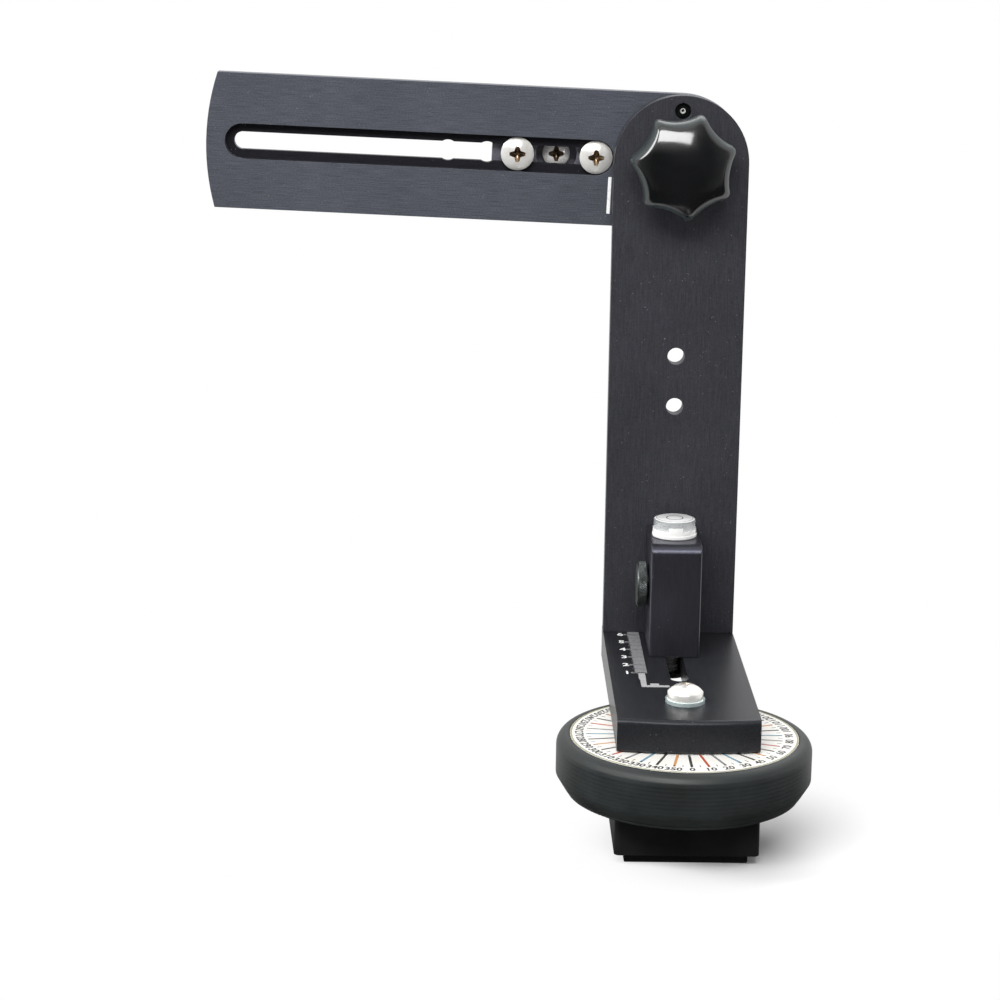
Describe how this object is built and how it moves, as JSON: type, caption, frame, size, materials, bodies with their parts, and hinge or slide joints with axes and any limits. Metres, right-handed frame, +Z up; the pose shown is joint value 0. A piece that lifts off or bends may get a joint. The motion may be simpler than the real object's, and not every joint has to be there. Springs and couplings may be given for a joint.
{
  "type": "panoramic tripod head",
  "caption": "Panoramic tripod head: a graduated rotator, a lower arm with a sliding upright, and a tilting slotted camera bracket locked by a lobed knob.",
  "frame": {"origin": "mouth of the tripod thread under the base, on the pan axis", "axes": "+Z up the pan axis, +Y from the pan axis along the lower arm to the upright and on towards the camera seat, +X to the right of someone who looks along +Y"},
  "size_m": [0.2249, 0.164, 0.2675],
  "materials": {
    "rubber": "matte moulded rubber",
    "base_plastic": "fine moulded grain",
    "shell_plastic": "satin moulded grain",
    "printed_disc": "printed scale under a clear film",
    "nylon": "natural nylon",
    "bright_screw": "bright nickel plate",
    "bright_washer": "bright nickel plate",
    "plain_steel": "zinc plate",
    "black_steel": "black oxide",
    "bronze": "turned bronze",
    "anodised_arm": "black anodised, fine brushed grain",
    "anodised_upright": "black anodised, fine brushed grain",
    "anodised_block": "black anodised, satin",
    "anodised_bracket": "black anodised, fine brushed grain",
    "anodised_plate": "black anodised, satin",
    "knob_plastic": "glossy thermoset",
    "level_white": "white moulded plastic",
    "level_clear": "clear acrylic",
    "level_fluid": "pale spirit"
  },
  "bodies": {
    "base": {"base_pad": "rubber", "base_block": "base_plastic", "tripod_bushing": "plain_steel", "base_screws": "plain_steel", "rotator_bowl": "shell_plastic", "rotator_ring": "shell_plastic", "ring_screws": "plain_steel", "scale_disc": "printed_disc", "slip_washer": "nylon", "pivot_screw": "bright_screw", "pivot_washer": "bright_washer", "pivot_nut": "plain_steel"},
    "arm": {"lower_arm": "anodised_arm", "pivot_bush": "bronze"},
    "upright": {"upright": "anodised_upright", "foot_block": "anodised_block", "block_screws": "plain_steel", "foot_stud": "bright_screw", "level_cup": "level_white", "level_vial": "level_clear", "level_fluid": "level_fluid", "plunger_body": "black_steel", "plunger_spring": "plain_steel"},
    "detent_ball": {"plunger_ball": "bright_screw"},
    "thumb_washer": {"thumb_washer": "bright_washer"},
    "thumbscrew": {"thumbscrew": "black_steel"},
    "bracket": {"camera_bracket": "anodised_bracket", "tilt_bolt": "plain_steel", "tilt_spacer": "nylon"},
    "knob_washer": {"knob_washer": "bright_washer"},
    "tilt_knob": {"tilt_knob": "knob_plastic", "knob_insert": "plain_steel"},
    "camera_plate": {"camera_plate": "anodised_plate", "plate_pad": "rubber", "plate_screws": "bright_screw"},
    "camera_screw": {"camera_screw": "bright_screw", "camera_clip": "plain_steel"}
  },
  "joints": [
    {"name": "pan", "type": "hinge", "parent": "base", "child": "arm", "pos_m": [0, 0, 0.0405], "axis": [0, 0, 1], "continuous": true},
    {"name": "foot_slide", "type": "slide", "parent": "arm", "child": "upright", "axis": [0, 1, 0], "range_m": [-0.04355, 0.0026]},
    {"name": "detent_ball_press", "type": "slide", "parent": "upright", "child": "detent_ball", "axis": [0, -1, 0], "range_m": [0, 0.0004], "stiffness_N_per_m": 2000, "springref_m": -0.0004},
    {"name": "thumb_travel", "type": "slide", "parent": "upright", "child": "thumb_washer", "axis": [-1, 0, 0], "range_m": [0, 0.00192]},
    {"name": "thumb_turn", "type": "hinge", "parent": "thumb_washer", "child": "thumbscrew", "pos_m": [-0.0118, 0.07115, 0.0771], "axis": [-1, 0, 0], "range_deg": [0, 540]},
    {"name": "tilt", "type": "hinge", "parent": "upright", "child": "bracket", "pos_m": [0, 0.095, 0.236], "axis": [0, 1, 0], "continuous": true},
    {"name": "knob_travel", "type": "slide", "parent": "bracket", "child": "knob_washer", "axis": [0, -1, 0], "range_m": [0, 0.00255]},
    {"name": "knob_turn", "type": "hinge", "parent": "knob_washer", "child": "tilt_knob", "pos_m": [0, 0.0865, 0.236], "axis": [0, -1, 0], "range_deg": [0, 720]},
    {"name": "plate_slide", "type": "slide", "parent": "bracket", "child": "camera_plate", "axis": [-0.9994, 0, 0.0349], "range_m": [0, 0.1038]},
    {"name": "camera_screw_turn", "type": "hinge", "parent": "camera_plate", "child": "camera_screw", "pos_m": [-0.04667, 0.11, 0.23763], "axis": [0, 1, 0], "continuous": true}
  ],
  "couplings": [
    {"joint": "thumb_travel", "follows": "thumb_turn", "m_per_rad": 0.00020213},
    {"joint": "knob_travel", "follows": "knob_turn", "m_per_rad": 0.00020213}
  ]
}
